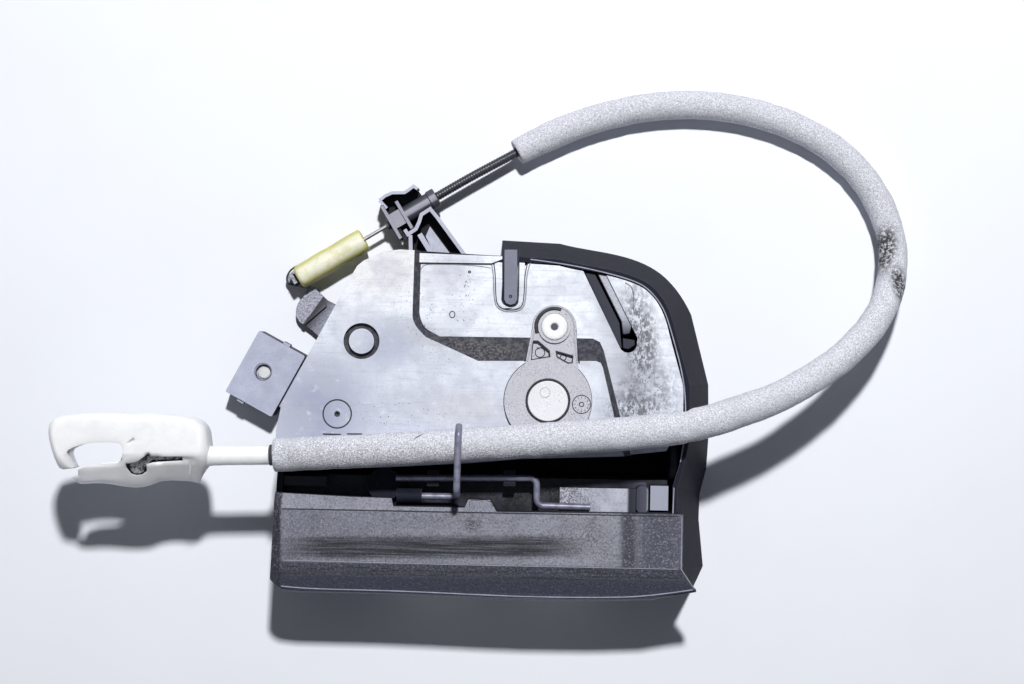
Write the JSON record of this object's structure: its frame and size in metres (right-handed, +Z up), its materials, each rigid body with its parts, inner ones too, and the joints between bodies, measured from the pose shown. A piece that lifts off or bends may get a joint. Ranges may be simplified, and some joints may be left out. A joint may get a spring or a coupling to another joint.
{
  "type": "door latch actuator",
  "caption": "Car door latch with claw and pawl in a flat moulded actuator housing, a lock lever on its deck and a foam-sleeved release cable.",
  "frame": {"origin": "centre of the footprint on the surface it lies on, without the cable", "axes": "+Z up from the surface through the deck, +X along the latch block, -Y out of the latch face"},
  "size_m": [0.3846, 0.2338, 0.0759],
  "materials": {
    "black_plastic": "moulded, fine grain, semi-matt",
    "deck_plastic": "moulded glass-filled plastic with a pale sheen, scuffed and dusty",
    "lever_plastic": "moulded acetal, semi-matt",
    "connector_plastic": "moulded, semi-matt",
    "zinc_steel": "zinc plated",
    "claw_steel": "hardened, dark",
    "rod_steel": "drawn wire, dark plated",
    "coated_steel": "black coated pressing",
    "rubber": "soft black rubber",
    "ferrule_plastic": "black moulding",
    "sleeve_vinyl": "aged yellow vinyl tube",
    "conduit_black": "black sheath over wound wire",
    "foam_grey": "grey closed-cell foam with torn pores",
    "white_plastic": "white moulded acetal",
    "pin_brass": "tinned blades"
  },
  "bodies": {
    "root": {"housing": "black_plastic", "latch_body": "black_plastic", "trench_tray": "black_plastic", "latch_cover": "black_plastic", "cable_bracket": "black_plastic", "release_pivot_boss": "black_plastic", "deck_plug": "black_plastic", "rod_bush": "black_plastic", "rod_clips": "black_plastic", "hook_rod_sleeve": "black_plastic", "cover": "deck_plastic", "connector_shell": "connector_plastic", "latch_plate": "zinc_steel", "claw_pin": "zinc_steel", "pawl_pin": "zinc_steel", "release_axle": "zinc_steel", "lock_motor": "zinc_steel", "claw_spring": "claw_steel", "pawl_spring": "claw_steel", "mouth_buffer": "rubber", "face_seal": "rubber", "cable_ferrule": "ferrule_plastic", "cable_conduit": "conduit_black", "foam_sleeve": "foam_grey", "end_fitting": "white_plastic", "connector_well_plug": "white_plastic", "connector_pins": "pin_brass"},
    "release": {"release_lever": "coated_steel"},
    "cable_end": {"cable_core": "zinc_steel", "cable_sleeve": "sleeve_vinyl"},
    "handle_end": {"core_end": "zinc_steel"},
    "pawl": {"pawl": "claw_steel"},
    "claw": {"claw": "claw_steel"},
    "lock": {"lock_lever": "lever_plastic", "lock_lever_hub": "lever_plastic", "lock_lever_roller": "white_plastic", "lock_gear": "lever_plastic"},
    "pinion": {"motor_pinion": "lever_plastic", "motor_rotor": "zinc_steel"},
    "link": {"lock_link": "rod_steel"},
    "hook": {"hook_rod": "rod_steel"}
  },
  "joints": [
    {"name": "release_turn", "type": "hinge", "parent": "root", "child": "release", "pos_m": [-0.0462, 0.0192, 0.004], "axis": [0, 0, -1], "range_deg": [0, 14], "stiffness_Nm_per_rad": 0.4},
    {"name": "cable_slide", "type": "slide", "parent": "root", "child": "cable_end", "axis": [0.8526, 0.5225, 0], "range_m": [0, 0.0105]},
    {"name": "core_end_slide", "type": "slide", "parent": "root", "child": "handle_end", "axis": [-0.9995, -0.0314, 0], "range_m": [0, 0.0105]},
    {"name": "pawl_lift", "type": "hinge", "parent": "root", "child": "pawl", "pos_m": [0.037, -0.0845, 0.027], "axis": [0, 1, 0], "range_deg": [0, 11.5]},
    {"name": "claw_turn", "type": "hinge", "parent": "root", "child": "claw", "pos_m": [-0.005, -0.0845, 0.026], "axis": [0, -1, 0], "range_deg": [0, 52], "stiffness_Nm_per_rad": 0.15},
    {"name": "lock_turn", "type": "hinge", "parent": "root", "child": "lock", "pos_m": [0.0362, -0.0056, 0.055], "axis": [0, 0, 1], "range_deg": [-18, 18]},
    {"name": "pinion_spin", "type": "hinge", "parent": "root", "child": "pinion", "pos_m": [0.0081, -0.0056, 0.038], "axis": [0, 0, 1], "range_deg": [-67, 67]},
    {"name": "lock_link_slide", "type": "slide", "parent": "root", "child": "link", "axis": [0.9998, 0.0176, 0], "range_m": [-0.0065, 0.0065]},
    {"name": "hook_swing", "type": "hinge", "parent": "root", "child": "hook", "pos_m": [-0.0163, -0.0492, 0.047], "axis": [1, 0, 0], "range_deg": [0, 30]}
  ],
  "couplings": [
    {"joint": "cable_slide", "follows": "release_turn", "m_per_rad": 0.0425},
    {"joint": "core_end_slide", "follows": "release_turn", "m_per_rad": 0.0425},
    {"joint": "pawl_lift", "follows": "release_turn", "ratio": 0.7857},
    {"joint": "pinion_spin", "follows": "lock_turn", "ratio": -3.6667},
    {"joint": "lock_link_slide", "follows": "lock_turn", "m_per_rad": 0.02}
  ]
}
